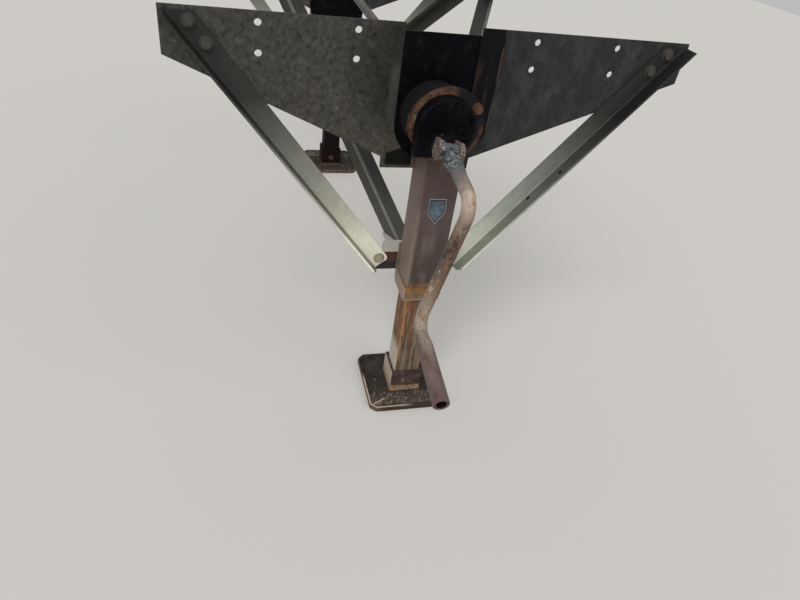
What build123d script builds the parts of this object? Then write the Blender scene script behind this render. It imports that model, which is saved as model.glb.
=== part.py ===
"""Landing gear set of a semi-trailer: two telescoping legs, wing plates, braces and a crank.

Millimetres. X points rearwards, Y from the road-side leg inboard, Z up.
The origin is the centre of the road-side wing plate's bolt pattern, on its inboard face.
"""
import os
from math import cos, radians, sin

from build123d import *

os.makedirs("parts", exist_ok=True)

# Overall layout
leg_spacing = 1800.0
ground_z = -1130.0

# Outer tube and its collar
tube_width = 112.0
tube_wall = 6.0
tube_corner = 12.0
tube_bottom = -675.0
tube_top = -175.0
collar_width = 124.0
collar_height = 22.0
slide_gap = 0.6

# Inner tube, shoe and pin
inner_width = 88.9
inner_wall = 6.0
inner_corner = 9.0
inner_top = -466.0
pan_length = 268.0
pan_width = 266.0
pan_thickness = 6.0
pan_corner = 20.0
rim_height = 13.0
rim_thickness = 5.0
socket_wall = 6.0
socket_gap = 2.6
socket_height = 94.0
inner_lift = 4.0
pin_radius = 9.5
pin_height = 58.0
pin_head_radius = 14.0
pin_head_thickness = 5.0
hole_gap = 0.3

# Wing plate, its notch and bolts, and the backing plate
plate_thickness = 6.0
plate_foot_half = 130.0
plate_bottom = -326.0
plate_shoulder = -293.0
plate_half = 700.0
plate_tip = -50.0
plate_top = 60.0
notch_radius = 103.0
notch_z = -195.0
bolt_radius = 8.75
bolt_rise = 70.0
outer_bolt_spacing = 960.0
inner_bolt_spacing = 480.0
backing_thickness = 6.0
backing_margin = 28.0
backing_top = 40.0
backing_bottom = -318.0
backing_corner = 30.0

# Gear housing and cover
housing_x = -20.0
housing_z = -168.0
housing_radius = 90.0
flange_x = -17.0
flange_z = -152.0
flange_radius = 99.0
flange_neck = 6.0
flange_thickness = 12.0
lug_x = 55.0
lug_z = -103.0
lug_radius = 14.0
lug_height = 7.0
cover_x = -28.0
cover_z = -147.0
cover_radius = 77.0
cover_depth = 35.0
far_cover_depth = 14.0
cover_edge = 6.0
ring_boss_x = 12.0
ring_boss_z = -153.0
ring_boss_radius = 15.0
ring_boss_bore = 7.0
small_boss_x = -30.0
small_boss_z = -116.0
small_boss_radius = 9.0
boss_height = 5.0

# Shafts
shaft_x = 0.0
shaft_z = -150.0
shaft_radius = 12.7
bearing_radius = 30.0
bearing_length = 14.0
stub_length = 60.0
stub_end_gap = 0.5
cross_tube_radius = 16.7
cross_tube_wall = 3.4
coupling_radius = 21.0
coupling_length = 90.0
coupling_overlap = 40.0

# Crank
input_x = -43.0
input_z = -170.0
input_boss_radius = 20.0
input_socket_depth = 30.0
crank_pin_y = -240.0
crank_swing = 8.0
crank_droop = 8.4
yoke_width = 61.0
yoke_ear = 11.0
yoke_reach = 39.0
yoke_web = 10.0
yoke_radius = 19.0
yoke_pin_radius = 8.0
yoke_pin_head = 13.0
yoke_pin_head_thickness = 6.0
eye_gap = 1.0
pipe_radius = 16.7
pipe_wall = 3.4
crank_reach = 213.0
crank_arm = 385.0
grip_reach = 256.0
crank_bend = 45.0
sleeve_radius = 21.1
sleeve_wall = 3.6
sleeve_length = 176.0

# Lower bracket and shelf
bracket_bottom = -674.0
bracket_height = 64.0
bracket_wall = 8.0
bracket_corner = 12.0
ear_reach = 148.0
shelf_wall = 6.0
shelf_half = 112.0
shelf_seat_half = 88.0
shelf_depth = 110.0
shelf_rise = 38.0

# Outer braces
brace_bolt_x = 121.0
brace_bolt_z = -627.5
brace_bolt_up = 34.0
brace_slope = 52.0
brace_width = 57.0
brace_depth = 52.0
brace_wall = 6.0
brace_root = 5.0
brace_round = 14.0
brace_tail = 22.0
brace_tail_clip = 20.0
brace_top = 50.0
drain_radius = 6.0
drain_places = ((295.0, 17.0), (415.0, 31.0))

# Inner braces and centre gussets
angle_leg = 50.0
angle_wall = 6.0
angle_roll = 28.0
inner_brace_x = 49.0
inner_brace_y = 30.0
gusset_x = 404.0
gusset_offset = 90.0
gusset_thickness = 8.0
gusset_length = 170.0
gusset_width = 480.0
gusset_bolt_x = 110.0
gusset_bolt_y = 420.0

# Places worked out from the sizes above
tube_y = -(plate_thickness + tube_width / 2)
tube_outboard = -(plate_thickness + tube_width)
centre_y = tube_y + leg_spacing / 2
centre_plane = Plane.XZ.offset(-centre_y)
flange_front = tube_outboard - flange_thickness
cover_front = flange_front - cover_depth
socket_width = inner_width + 2 * socket_gap + 2 * socket_wall
pan_top = ground_z + pan_thickness
ear_top = bracket_bottom + bracket_height
shelf_top = ear_top + shelf_wall
bearing_face = backing_thickness + bearing_length


def facing(y):
    """A sketch plane at depth y that faces outboard: local x is X, local y is Z."""
    return Plane.XZ.offset(-y)


def keep(piece, name, mirror_plane=None):
    """Labels a finished piece, mirrored first where a plane is given, and writes its file."""
    if mirror_plane is not None:
        piece = mirror(piece, about=mirror_plane)
    piece.label = name
    export_step(piece, f"parts/{name}.step")


def keep_pair(piece, name):
    """Writes a piece of the road-side leg, and its mirror image on the far leg."""
    keep(piece, f"{name}_left")
    keep(piece, f"{name}_right", centre_plane)


# Outer tube: square tube with rounded corners, its top inside the gear housing
with BuildPart() as outer_tube:
    with BuildSketch(Plane.XY.offset(tube_bottom)):
        with Locations((0, tube_y)):
            RectangleRounded(tube_width, tube_width, tube_corner)
            bore = tube_width - 2 * tube_wall
            RectangleRounded(bore, bore, tube_corner - tube_wall, mode=Mode.SUBTRACT)
    extrude(amount=tube_top - tube_bottom)
keep_pair(outer_tube.part, "outer_tube")

# Collar: the wear ring at the tube's mouth, a sliding fit on the inner tube
with BuildPart() as collar:
    with BuildSketch(Plane.XY.offset(tube_bottom - collar_height)):
        with Locations((0, tube_y)):
            RectangleRounded(collar_width, collar_width, tube_corner)
            mouth = inner_width + 2 * slide_gap
            RectangleRounded(mouth, mouth, inner_corner, mode=Mode.SUBTRACT)
    extrude(amount=collar_height)
keep_pair(collar.part, "collar")

# Inner tube: slides in the collar, stands in the shoe's socket and carries the shoe pin
with BuildPart() as inner_tube:
    with BuildSketch(Plane.XY.offset(pan_top + inner_lift)):
        with Locations((0, tube_y)):
            RectangleRounded(inner_width, inner_width, inner_corner)
            bore = inner_width - 2 * inner_wall
            RectangleRounded(bore, bore, inner_corner - inner_wall, mode=Mode.SUBTRACT)
    extrude(amount=inner_top - pan_top - inner_lift)
    with Locations(Plane.XZ.location * Location((0, ground_z + pin_height, -tube_y))):
        Hole(pin_radius + hole_gap)
keep_pair(inner_tube.part, "inner_tube")

# Shoe: a dished pan with clipped corners and an upright rim, and the socket welded on it
with BuildPart() as shoe:
    with BuildSketch(Plane.XY.offset(ground_z)) as pan_sketch:
        with Locations((0, tube_y)):
            Rectangle(pan_length, pan_width)
        chamfer(pan_sketch.vertices(), length=pan_corner)
    extrude(amount=pan_thickness)
    with BuildSketch(Plane.XY.offset(pan_top)) as rim_sketch:
        with Locations((0, tube_y)):
            Rectangle(pan_length, pan_width)
        chamfer(rim_sketch.vertices(), length=pan_corner)
        offset(amount=-rim_thickness, mode=Mode.SUBTRACT)
    extrude(amount=rim_height)
    with BuildSketch(Plane.XY.offset(pan_top)):
        with Locations((0, tube_y)):
            Rectangle(socket_width, socket_width)
            socket_bore = socket_width - 2 * socket_wall
            Rectangle(socket_bore, socket_bore, mode=Mode.SUBTRACT)
    extrude(amount=socket_height)
    with Locations(Plane.XZ.location * Location((0, ground_z + pin_height, -tube_y))):
        Hole(pin_radius + hole_gap)
keep_pair(shoe.part, "shoe")

# Shoe pin: a headed pin through the socket and the inner tube
with BuildPart() as shoe_pin:
    with BuildSketch(facing(tube_y + socket_width / 2)):
        with Locations((0, ground_z + pin_height)):
            Circle(pin_radius)
    extrude(amount=socket_width)
    for side in (-1, 1):
        head_start = tube_y + side * socket_width / 2
        with BuildSketch(facing(head_start)):
            with Locations((0, ground_z + pin_height)):
                Circle(pin_head_radius)
        extrude(amount=-side * pin_head_thickness)
keep_pair(shoe_pin.part, "shoe_pin")

# Wing plate: wide at the top, tapered to its foot, with a round-bottomed notch for the gear housing
with BuildPart() as wing_plate:
    with BuildSketch(facing(0)):
        with BuildLine():
            Polyline(
                (housing_x - plate_foot_half, plate_bottom),
                (housing_x + plate_foot_half, plate_bottom),
                (housing_x + plate_foot_half, plate_shoulder),
                (plate_half, plate_tip),
                (plate_half, plate_top),
                (-plate_half, plate_top),
                (-plate_half, plate_tip),
                (housing_x - plate_foot_half, plate_shoulder),
                close=True,
            )
        make_face()
        with Locations((housing_x, notch_z)):
            Circle(notch_radius, mode=Mode.SUBTRACT)
            notch_rise = plate_top - notch_z
            Rectangle(2 * notch_radius, notch_rise, align=(Align.CENTER, Align.MIN), mode=Mode.SUBTRACT)
        for spacing in (outer_bolt_spacing, inner_bolt_spacing):
            with GridLocations(spacing, bolt_rise, 2, 2):
                Circle(bolt_radius, mode=Mode.SUBTRACT)
    extrude(amount=plate_thickness)
keep_pair(wing_plate.part, "wing_plate")

# Backing plate: closes the notch from behind, carries the housing and the output shaft's bearing
with BuildPart() as backing_plate:
    with BuildSketch(facing(0)):
        with Locations((housing_x, (backing_top + backing_bottom) / 2)):
            backing_width = 2 * (notch_radius + backing_margin)
            RectangleRounded(backing_width, backing_top - backing_bottom, backing_corner)
    extrude(amount=-backing_thickness)
    with BuildSketch(facing(backing_thickness)):
        with Locations((shaft_x, shaft_z)):
            Circle(bearing_radius)
    extrude(amount=-bearing_length)
    with BuildSketch(facing(0)):
        with Locations((shaft_x, shaft_z)):
            Circle(shaft_radius + hole_gap)
    extrude(amount=-bearing_face, mode=Mode.SUBTRACT)
keep_pair(backing_plate.part, "backing_plate")

# Gear housing: a bell from the round back to the smaller front flange, pocketed over the tube's head
with BuildPart() as gear_housing:
    with BuildSketch(facing(0)):
        with Locations((housing_x, housing_z)):
            Circle(housing_radius)
    with BuildSketch(facing(tube_outboard)):
        with Locations((flange_x, flange_z)):
            Circle(flange_radius - flange_neck)
    loft()
    with BuildSketch(facing(tube_outboard)):
        with Locations((flange_x, flange_z)):
            Circle(flange_radius)
    extrude(amount=flange_thickness)
    with BuildSketch(Plane.XY.offset(tube_top)):
        with Locations((0, tube_y)):
            RectangleRounded(tube_width, tube_width, tube_corner)
    extrude(amount=-tube_width * 2, mode=Mode.SUBTRACT)
    with BuildSketch(facing(flange_front + flange_thickness)):
        with Locations((lug_x, lug_z)):
            Circle(lug_radius)
    extrude(amount=flange_thickness + lug_height)
keep_pair(gear_housing.part, "gear_housing")

# Gear cover of the cranked leg: round, with one squared lower corner and the bosses of the gear shafts
with BuildPart() as gear_cover:
    with BuildSketch(facing(flange_front)):
        with Locations((cover_x, cover_z)):
            Circle(cover_radius)
            Rectangle(cover_radius, cover_radius, align=(Align.MAX, Align.MAX))
    extrude(amount=cover_depth)
    fillet(gear_cover.faces().sort_by(Axis.Y)[0].edges(), cover_edge)
    bosses = (
        (input_x, input_z, input_boss_radius),
        (ring_boss_x, ring_boss_z, ring_boss_radius),
        (small_boss_x, small_boss_z, small_boss_radius),
    )
    for boss_x, boss_z, boss_radius in bosses:
        with BuildSketch(facing(cover_front)):
            with Locations((boss_x, boss_z)):
                Circle(boss_radius)
        extrude(amount=boss_height)
    with BuildSketch(facing(cover_front - boss_height)):
        with Locations((ring_boss_x, ring_boss_z)):
            Circle(ring_boss_bore)
    extrude(amount=-boss_height, mode=Mode.SUBTRACT)
    with BuildSketch(facing(cover_front - boss_height)):
        with Locations((input_x, input_z)):
            Circle(shaft_radius + hole_gap)
    extrude(amount=-input_socket_depth, mode=Mode.SUBTRACT)
keep(gear_cover.part, "gear_cover_left")

# Gear cover of the far leg: a plain round lid
with BuildPart() as far_cover:
    with BuildSketch(facing(flange_front)):
        with Locations((cover_x, cover_z)):
            Circle(cover_radius)
    extrude(amount=far_cover_depth)
    fillet(far_cover.faces().sort_by(Axis.Y)[0].edges(), cover_edge)
keep(far_cover.part, "gear_cover_right", centre_plane)

# Lower bracket: a plate across the back of the tube with an ear to the front and to the rear
with BuildPart() as lower_bracket:
    with BuildSketch(facing(-plate_thickness)) as ears:
        with Locations((0, bracket_bottom)):
            Rectangle(2 * ear_reach, bracket_height, align=(Align.CENTER, Align.MIN))
        chamfer(ears.vertices().group_by(Axis.Y)[0], length=bracket_corner)
        with Locations((-brace_bolt_x, brace_bolt_z), (brace_bolt_x, brace_bolt_z)):
            Circle(bolt_radius, mode=Mode.SUBTRACT)
    extrude(amount=-bracket_wall)
keep_pair(lower_bracket.part, "lower_bracket")

# Brace shelf: an angle on the bracket, its short leg upright behind the tube, its long leg under the inner braces
with BuildPart() as brace_shelf:
    with BuildSketch(Plane.YZ):
        with Locations((-plate_thickness, ear_top)):
            Rectangle(shelf_wall, shelf_rise, align=(Align.MIN, Align.MIN))
    extrude(amount=shelf_half, both=True)
    with BuildSketch(Plane.YZ):
        with Locations((-plate_thickness, ear_top)):
            Rectangle(shelf_depth, shelf_wall, align=(Align.MIN, Align.MIN))
    extrude(amount=shelf_seat_half, both=True)
keep_pair(brace_shelf.part, "brace_shelf")

# Outer braces: angles from the ears up to the wing plate's corners, one leg flat, one along the lower edge
brace_along = Vector(cos(radians(brace_slope)), 0, sin(radians(brace_slope)))
brace_across = Vector(-sin(radians(brace_slope)), 0, cos(radians(brace_slope)))
brace_bolt = Vector(brace_bolt_x, -plate_thickness, brace_bolt_z)
brace_heel = brace_bolt - brace_across * brace_bolt_up
brace_start = Plane(origin=brace_heel - brace_along * brace_tail, x_dir=brace_across, z_dir=brace_along)
brace_ledge = Plane(origin=brace_heel, x_dir=brace_along, z_dir=-brace_across)
brace_length = (plate_top - brace_bolt_z) / brace_along.Z + 2 * brace_width
with BuildPart() as rear_brace:
    with BuildSketch(brace_start) as section:
        Rectangle(brace_width, brace_wall, align=(Align.MIN, Align.MIN))
        Rectangle(brace_wall, brace_depth, align=(Align.MIN, Align.MIN))
        fillet(section.vertices().sort_by_distance((brace_wall, brace_wall, 0))[0], brace_root)
    extrude(amount=brace_length)
    split(bisect_by=Plane.XY.offset(brace_top), keep=Keep.BOTTOM)
    tail_corner = brace_start.from_local_coords((brace_width, brace_wall / 2, 0))
    fillet(rear_brace.edges().filter_by(Axis.Y).sort_by_distance(tail_corner)[0], brace_round)
    ledge_corner = brace_start.from_local_coords((brace_wall / 2, brace_depth, 0))
    chamfer(rear_brace.edges().sort_by_distance(ledge_corner)[0], brace_tail_clip)
    with BuildSketch(facing(-plate_thickness)):
        with Locations((brace_bolt_x, brace_bolt_z)):
            Circle(bolt_radius)
    extrude(amount=brace_wall, mode=Mode.SUBTRACT)
    with BuildSketch(brace_ledge):
        with Locations(*drain_places):
            Circle(drain_radius)
    extrude(amount=-brace_wall, mode=Mode.SUBTRACT)
front_brace = mirror(rear_brace.part, about=Plane.YZ)
keep_pair(rear_brace.part, "rear_brace")
keep_pair(front_brace, "front_brace")

# Inner braces: angles with the heel up and outboard, from the shelf to the centre gussets
inner_foot = Vector(inner_brace_x, inner_brace_y, shelf_top)
inner_head = Vector(gusset_x, centre_y - gusset_offset, brace_top)
inner_run = inner_head - inner_foot
inner_along = inner_run.normalized()
heel_side = Vector(0, -1, 1)
heel_square = (heel_side - inner_along * heel_side.dot(inner_along)).normalized()
heel = heel_square * cos(radians(angle_roll)) + inner_along.cross(heel_square) * sin(radians(angle_roll))
inner_start = Plane(origin=inner_foot - inner_along * angle_leg * 2, x_dir=heel, z_dir=inner_along)
leg_a = Vector(-cos(radians(45)), sin(radians(45)))
leg_b = Vector(-cos(radians(45)), -sin(radians(45)))
with BuildPart() as rear_inner_brace:
    with BuildSketch(inner_start):
        with BuildLine():
            Polyline(
                Vector(0, 0),
                leg_a * angle_leg,
                leg_a * angle_leg + leg_b * angle_wall,
                (leg_a + leg_b) * angle_wall,
                leg_b * angle_leg + leg_a * angle_wall,
                leg_b * angle_leg,
                close=True,
            )
        make_face()
    extrude(amount=inner_run.length + 4 * angle_leg)
    split(bisect_by=Plane.XY.offset(shelf_top), keep=Keep.TOP)
    split(bisect_by=Plane.XY.offset(brace_top), keep=Keep.BOTTOM)
front_inner_brace = mirror(rear_inner_brace.part, about=Plane.YZ)
keep_pair(rear_inner_brace.part, "rear_inner_brace")
keep_pair(front_inner_brace, "front_inner_brace")

# Centre gussets: flat plates under the trailer's centre line that join the inner braces of both legs
with BuildPart() as rear_gusset:
    with BuildSketch(Plane.XY.offset(brace_top)):
        with Locations((gusset_x, centre_y)):
            Rectangle(gusset_length, gusset_width)
            with GridLocations(gusset_bolt_x, gusset_bolt_y, 2, 2):
                Circle(bolt_radius, mode=Mode.SUBTRACT)
    extrude(amount=gusset_thickness)
keep(rear_gusset.part, "rear_gusset")
keep(rear_gusset.part, "front_gusset", Plane.YZ)

# Output stub: the short shaft that leaves each leg through its bearing
with BuildPart() as output_stub:
    with BuildSketch(facing(stub_end_gap)):
        with Locations((shaft_x, shaft_z)):
            Circle(shaft_radius)
    extrude(amount=-stub_length)
keep_pair(output_stub.part, "output_stub")

# Coupling: a sleeve on the stub with a wider bore over the cross shaft's end
stub_end = stub_end_gap + stub_length
coupling_start = stub_end - coupling_overlap
with BuildPart() as coupling:
    with BuildSketch(facing(coupling_start)):
        with Locations((shaft_x, shaft_z)):
            Circle(coupling_radius)
            Circle(shaft_radius, mode=Mode.SUBTRACT)
    extrude(amount=-coupling_overlap)
    with BuildSketch(facing(stub_end)):
        with Locations((shaft_x, shaft_z)):
            Circle(coupling_radius)
            Circle(cross_tube_radius, mode=Mode.SUBTRACT)
    extrude(amount=coupling_overlap - coupling_length)
keep_pair(coupling.part, "coupling")

# Cross shaft: the tube between the two legs that turns both screws together
with BuildPart() as cross_shaft:
    with BuildSketch(facing(stub_end)):
        with Locations((shaft_x, shaft_z)):
            Circle(cross_tube_radius)
            Circle(cross_tube_radius - cross_tube_wall, mode=Mode.SUBTRACT)
    extrude(amount=-2 * (centre_y - stub_end))
keep(cross_shaft.part, "cross_shaft")

# Directions of the crank at rest: it droops on its pin and hangs a little to the front
pin_dir = Vector(1, 0, 0).rotate(Axis.Y, crank_swing)
droop = radians(crank_droop)
shaft_dir = Vector(0, -cos(droop), -sin(droop)).rotate(Axis.Y, crank_swing)
arm_dir = Vector(0, sin(droop), -cos(droop)).rotate(Axis.Y, crank_swing)
crank_pin = Vector(input_x, crank_pin_y, input_z)
web_outboard = crank_pin_y + yoke_reach
web_inboard = web_outboard + yoke_web

# Input shaft: from the gear cover's bearing to the yoke
with BuildPart() as input_shaft:
    with BuildSketch(facing(web_inboard)):
        with Locations((input_x, input_z)):
            Circle(shaft_radius)
    extrude(amount=-(cover_front - boss_height + input_socket_depth - stub_end_gap - web_inboard))
keep(input_shaft.part, "input_shaft")

# Yoke: two rounded ears on a web, square to the pin
yoke_side = Plane(origin=crank_pin - pin_dir * (yoke_width / 2), x_dir=(0, -1, 0), z_dir=pin_dir)
with BuildPart() as crank_yoke:
    with BuildSketch(yoke_side):
        Circle(yoke_radius)
        back = yoke_reach + yoke_web
        Rectangle(back, 2 * yoke_radius, align=(Align.MAX, Align.CENTER))
    extrude(amount=yoke_width)
    with BuildSketch(yoke_side.offset(yoke_ear)):
        Rectangle(2 * yoke_reach, 3 * yoke_radius)
    extrude(amount=yoke_width - 2 * yoke_ear, mode=Mode.SUBTRACT)
    with BuildSketch(yoke_side):
        Circle(yoke_pin_radius)
    extrude(amount=yoke_width, mode=Mode.SUBTRACT)
keep(crank_yoke.part, "crank_yoke")

# Yoke pin: a bolt through both ears with a head at each end
with BuildPart() as yoke_pin:
    with BuildSketch(yoke_side):
        Circle(yoke_pin_radius)
    extrude(amount=yoke_width)
    for start, step in ((yoke_side, -1), (yoke_side.offset(yoke_width), 1)):
        with BuildSketch(start):
            RegularPolygon(yoke_pin_head, 6)
        extrude(amount=step * yoke_pin_head_thickness)
keep(yoke_pin.part, "yoke_pin")

# Crank handle: a bent pipe with an eye on the yoke pin
crank_plane = Plane(origin=crank_pin, x_dir=shaft_dir, z_dir=shaft_dir.cross(arm_dir))
eye_length = yoke_width - 2 * yoke_ear - 2 * eye_gap
eye_start = Plane(origin=crank_pin - pin_dir * (eye_length / 2), x_dir=shaft_dir, z_dir=pin_dir)
with BuildPart() as crank_handle:
    with BuildLine(crank_plane) as crank_route:
        FilletPolyline(
            (0, 0),
            (crank_reach, 0),
            (crank_reach, crank_arm),
            (crank_reach + grip_reach, crank_arm),
            radius=crank_bend,
        )
    with BuildSketch(Plane(origin=crank_pin, x_dir=pin_dir, z_dir=shaft_dir)):
        Circle(pipe_radius)
        Circle(pipe_radius - pipe_wall, mode=Mode.SUBTRACT)
    sweep(path=crank_route.line)
    with BuildSketch(eye_start):
        Circle(yoke_radius)
    extrude(amount=eye_length)
    with BuildSketch(eye_start):
        Circle(yoke_pin_radius + hole_gap)
    extrude(amount=eye_length, mode=Mode.SUBTRACT)
keep(crank_handle.part, "crank_handle")

# Crank grip: a loose sleeve on the handle's end
grip_end = crank_pin + shaft_dir * (crank_reach + grip_reach) + arm_dir * crank_arm
with BuildPart() as crank_grip:
    with BuildSketch(Plane(origin=grip_end, x_dir=pin_dir, z_dir=-shaft_dir)):
        Circle(sleeve_radius)
        Circle(sleeve_radius - sleeve_wall, mode=Mode.SUBTRACT)
    extrude(amount=sleeve_length)
keep(crank_grip.part, "crank_grip")
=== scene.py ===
# %% [markdown]
# # Landing gear of a semi-trailer: dressing the packed frame
# The CAD model gives every rigid form at its real size. This lesson adds what a drawing leaves out:
# weathered finishes, weld beads, bolts, a blank plate on the tube, and the dirt that a shoe
# collects.

# %% Load the frame
import bpy
import bmesh
import numpy as np
from mathutils import Matrix


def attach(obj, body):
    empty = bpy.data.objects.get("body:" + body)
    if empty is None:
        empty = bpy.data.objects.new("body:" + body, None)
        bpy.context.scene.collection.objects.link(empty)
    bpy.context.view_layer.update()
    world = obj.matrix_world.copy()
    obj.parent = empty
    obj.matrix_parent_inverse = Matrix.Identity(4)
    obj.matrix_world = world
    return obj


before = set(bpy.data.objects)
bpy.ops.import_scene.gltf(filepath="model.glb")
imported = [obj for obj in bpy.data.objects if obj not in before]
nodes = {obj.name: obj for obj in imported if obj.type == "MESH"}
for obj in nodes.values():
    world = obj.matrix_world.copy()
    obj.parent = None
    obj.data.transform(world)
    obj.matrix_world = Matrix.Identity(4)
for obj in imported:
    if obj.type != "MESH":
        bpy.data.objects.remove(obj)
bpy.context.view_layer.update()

# %% [markdown]
# ## The sizes that the dressing needs
# The model's own sizes are repeated here in metres, so that each bead and bolt sits on what carries
# it. The far leg is the mirror image of the near one about a plane at right angles to Y.

# %% Sizes in metres
ground = -1.130
centre_y = 0.838
tube_mid = -0.062
tube_face = -0.118
tube_half = 0.056
pan_top = -1.124
pan_half = (0.134, 0.133)
bolt_spots = ((-0.121, -0.6275), (0.121, -0.6275))
brace_slope = np.radians(52.0)
cover_face = -0.165
cover_middle = np.array([-0.028, -0.147])
flange_middle = (-0.017, -0.152)
lug_middle = (0.055, -0.103)
print("leg spacing", round(2 * (centre_y - tube_mid), 3), "m")

# %% [markdown]
# ## Colours as they look
# A shader wants linear light, while a colour judged by eye on a screen is not linear. Writing
# colours from 0 to 255 and converting them once keeps every finish easy to compare with a
# photograph.

# %% Colour helper
def tint(red, green, blue):
    """The screen colour over 255, each channel raised by the screen's own curve to linear light."""
    c = np.array([red, green, blue]) / 255.0
    lin = np.where(c <= 0.04045, c / 12.92, ((c + 0.055) / 1.055) ** 2.4)
    return (*lin.tolist(), 1.0)


print("mid grey", [round(v, 3) for v in tint(128, 128, 128)])

# %% [markdown]
# ## Small steps for building finishes
# Weathering is layers: an old coat, blotches, streaks that run down, rust at the edges and dust on
# top. A Finish holds one material while it is built, and each of its methods adds one kind of node,
# so a finish reads as a recipe. A colour is written as red, green and blue up to 255. A mask is a
# value from 0 to 1, and where one is asked for, (value, low, high) means a smooth step: 0 at low
# and 1 at high.

# %% Finish recipe
class Finish:
    """One material being built. f.colour is the coat so far, and f.lay puts the next one on it."""

    def __init__(self, name, roughness, metallic=0.0, specular=None):
        self.coat = bpy.data.materials.new(name)
        self.coat.use_nodes = True
        self.tree = self.coat.node_tree
        self.shader = self.tree.nodes["Principled BSDF"]
        self.shader.inputs["Roughness"].default_value = roughness
        self.shader.inputs["Metallic"].default_value = metallic
        if specular is not None:
            self.shader.inputs["Specular IOR Level"].default_value = specular
        self.place = self.tree.nodes.new("ShaderNodeTexCoord").outputs["Object"]
        self.colour = None

    def node(self, kind, values, **settings):
        """A new node. Each value is linked to its input if it is a socket, or else set on it."""
        node = self.tree.nodes.new("ShaderNode" + kind)
        for key, value in settings.items():
            setattr(node, key, value)
        for key, value in values.items():
            if isinstance(value, bpy.types.NodeSocket):
                self.tree.links.new(value, node.inputs[key])
            else:
                node.inputs[key].default_value = value
        return node

    def grain(self, size, detail=4.0, stretch=1.0, shift=0.0):
        """Noise with blotches of about size metres. A small stretch draws them out along Z.

        Three numbers for stretch draw them out along each axis.
        """
        scale = stretch if isinstance(stretch, tuple) else (1.0, 1.0, stretch)
        mapping = self.node(
            "Mapping", {"Vector": self.place, "Scale": scale, "Location": (shift,) * 3})
        noise = {
            "Vector": mapping.outputs["Vector"], "Scale": 1.0 / size, "Detail": detail,
            "Roughness": 0.6}
        return self.node("TexNoise", noise).outputs["Fac"]

    def step(self, value, low, high, top=1.0):
        """0 up to low, then a smooth rise to top at high. With low above high it falls instead."""
        ends = (low, high, 0.0, top) if low < high else (high, low, top, 0.0)
        values = dict(zip(("From Min", "From Max", "To Min", "To Max"), ends), Value=value)
        return self.node("MapRange", values, interpolation_type="SMOOTHSTEP").outputs["Result"]

    def axis(self, letter, vector=None):
        """One coordinate of a vector, which is the place unless another is given."""
        return self.node("SeparateXYZ", {"Vector": vector or self.place}).outputs[letter]

    def facing(self, letter="X"):
        """One part of the way that the surface faces. In X it is -1 where it looks forward."""
        return self.axis(letter, self.node("NewGeometry", {}).outputs["Normal"])

    def by_value(self, value, stops):
        """A colour that runs through the stops, each a value and its colour, lowest value first."""
        low, high = stops[0][0], stops[-1][0]
        share = self.node("MapRange", {"Value": value, "From Min": low, "From Max": high})
        ramp = self.node("ValToRGB", {"Fac": share.outputs["Result"]})
        ramp.color_ramp.elements[0].color = tint(*stops[0][1:])
        ramp.color_ramp.elements[1].color = tint(*stops[-1][1:])
        for at, *colour in stops[1:-1]:
            ramp.color_ramp.elements.new((at - low) / (high - low)).color = tint(*colour)
        return ramp.outputs["Color"]

    def vector(self, how, first, second=None):
        """One vector operation. Its answer is a vector, or a number for LENGTH and DOT_PRODUCT."""
        values = {0: first} if second is None else {0: first, 1: second}
        node = self.node("VectorMath", values, operation=how)
        return node.outputs["Value" if how in ("LENGTH", "DOT_PRODUCT") else "Vector"]

    def folded(self):
        """The place folded onto the near leg's rear half: Y mirrored, and X made positive."""
        middle = (0.0, centre_y, 0.0)
        positive = self.vector("ABSOLUTE", self.vector("SUBTRACT", self.place, middle))
        turned_back = self.vector("MULTIPLY", positive, (1.0, -1.0, 0.0))
        heights = self.vector("MULTIPLY", self.place, (0.0, 0.0, 1.0))
        return self.vector("ADD", self.vector("ADD", turned_back, heights), middle)

    def near_line(self, point, way, place=None):
        """Distance from the line through point along way: the length of (place - point) x way."""
        way = np.asarray(way, float) / np.linalg.norm(way)
        away = self.vector("SUBTRACT", place or self.place, tuple(point))
        return self.vector("LENGTH", self.vector("CROSS_PRODUCT", away, tuple(way)))

    def from_axis(self, middle):
        """Distance from the line along Y through middle, given as X and Z."""
        return self.near_line((middle[0], 0.0, middle[1]), (0.0, 1.0, 0.0))

    def joined(self, first, second, how):
        """Two values joined by one arithmetic step, kept between 0 and 1."""
        return self.node(
            "Math", {0: first, 1: second}, operation=how, use_clamp=True).outputs["Value"]

    def mask(self, item):
        """A mask as it is, or the step that (value, low, high), with or without top, stands for."""
        return self.step(*item) if isinstance(item, tuple) else item

    def both(self, *masks):
        """The product of masks, so the answer is 1 only where all of them are."""
        answer = self.mask(masks[0])
        for other in masks[1:]:
            answer = self.joined(answer, self.mask(other), "MULTIPLY")
        return answer

    def either(self, first, second):
        """The larger of two masks."""
        return self.joined(self.mask(first), self.mask(second), "MAXIMUM")

    def mix(self, under, over, *masks):
        """The colour over laid on the colour under where all the masks are 1."""
        node = self.node("Mix", {"Factor": self.both(*masks)}, data_type="RGBA")
        for key, value in (("A", under), ("B", over)):
            socket = next(s for s in node.inputs if s.name == key and s.type == "RGBA")
            if isinstance(value, tuple):
                socket.default_value = tint(*value)
            else:
                self.tree.links.new(value, socket)
        return next(s for s in node.outputs if s.type == "RGBA")

    def lay(self, over, *masks):
        """The next coat, over the one so far where all the masks are 1."""
        self.colour = self.mix(self.colour, over, *masks)

    def toned(self, red, green, blue):
        """The coat so far, with each channel of its light multiplied."""
        return self.vector("MULTIPLY", self.colour, (red, green, blue))

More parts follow.
